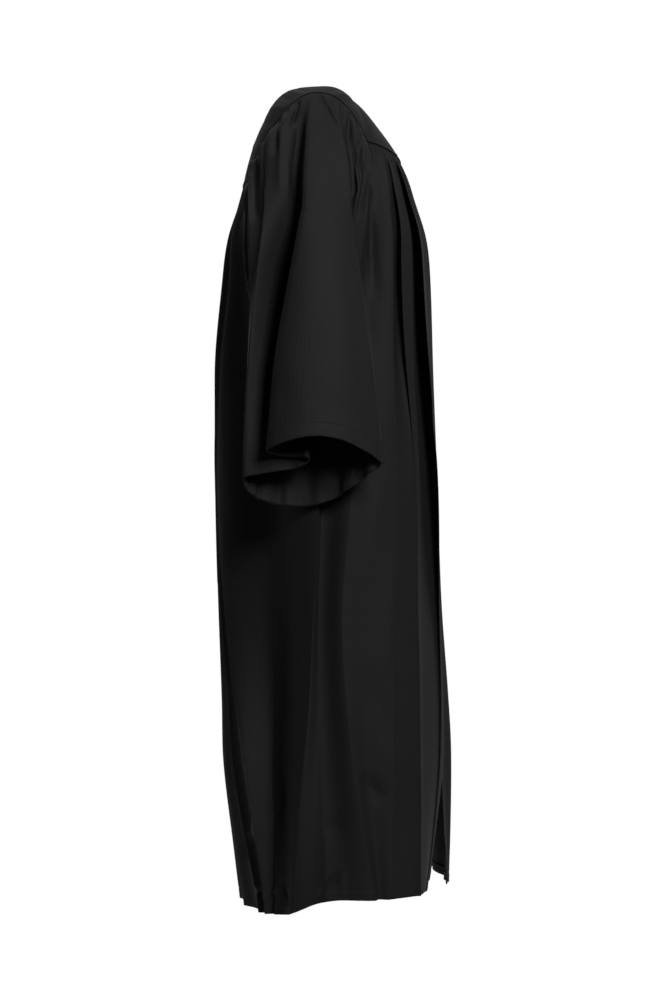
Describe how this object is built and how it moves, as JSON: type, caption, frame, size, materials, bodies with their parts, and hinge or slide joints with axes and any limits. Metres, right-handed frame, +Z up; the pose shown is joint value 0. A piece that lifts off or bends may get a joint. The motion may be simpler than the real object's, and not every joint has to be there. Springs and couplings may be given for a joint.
{
  "type": "choir gown",
  "caption": "Full-length choir gown, worn and hollow: smooth V-neck yoke, gathered fronts and back, gathered bell sleeves and a front zip that stops above the hem.",
  "frame": {"origin": "between the shoulder tips, level with the underside of the yoke where the wearer's shoulders carry the gown", "axes": "+Z up; the front faces -Y; the wearer's right sleeve is at -X"},
  "size_m": [0.6984, 0.3812, 1.275],
  "materials": {
    "gown_cloth": "matt black polyester with a faint sheen",
    "zip_tape": "black woven tape",
    "zip_metal": "black enamelled zip hardware"
  },
  "bodies": {
    "gown": {"front_right": "gown_cloth", "front_left": "gown_cloth", "back": "gown_cloth", "yoke_front_right": "gown_cloth", "yoke_front_left": "gown_cloth", "yoke_back": "gown_cloth", "sleeve_right": "gown_cloth", "sleeve_left": "gown_cloth", "zip_tape": "zip_tape", "zip_slider": "zip_metal", "zip_bail": "zip_metal"},
    "zip_pull": {"zip_pull": "zip_metal"}
  },
  "joints": [
    {"name": "pull_hinge", "type": "hinge", "parent": "gown", "child": "zip_pull", "pos_m": [0, -0.11416, -0.06619], "axis": [-1, 0, 0], "range_deg": [0, 150]}
  ]
}
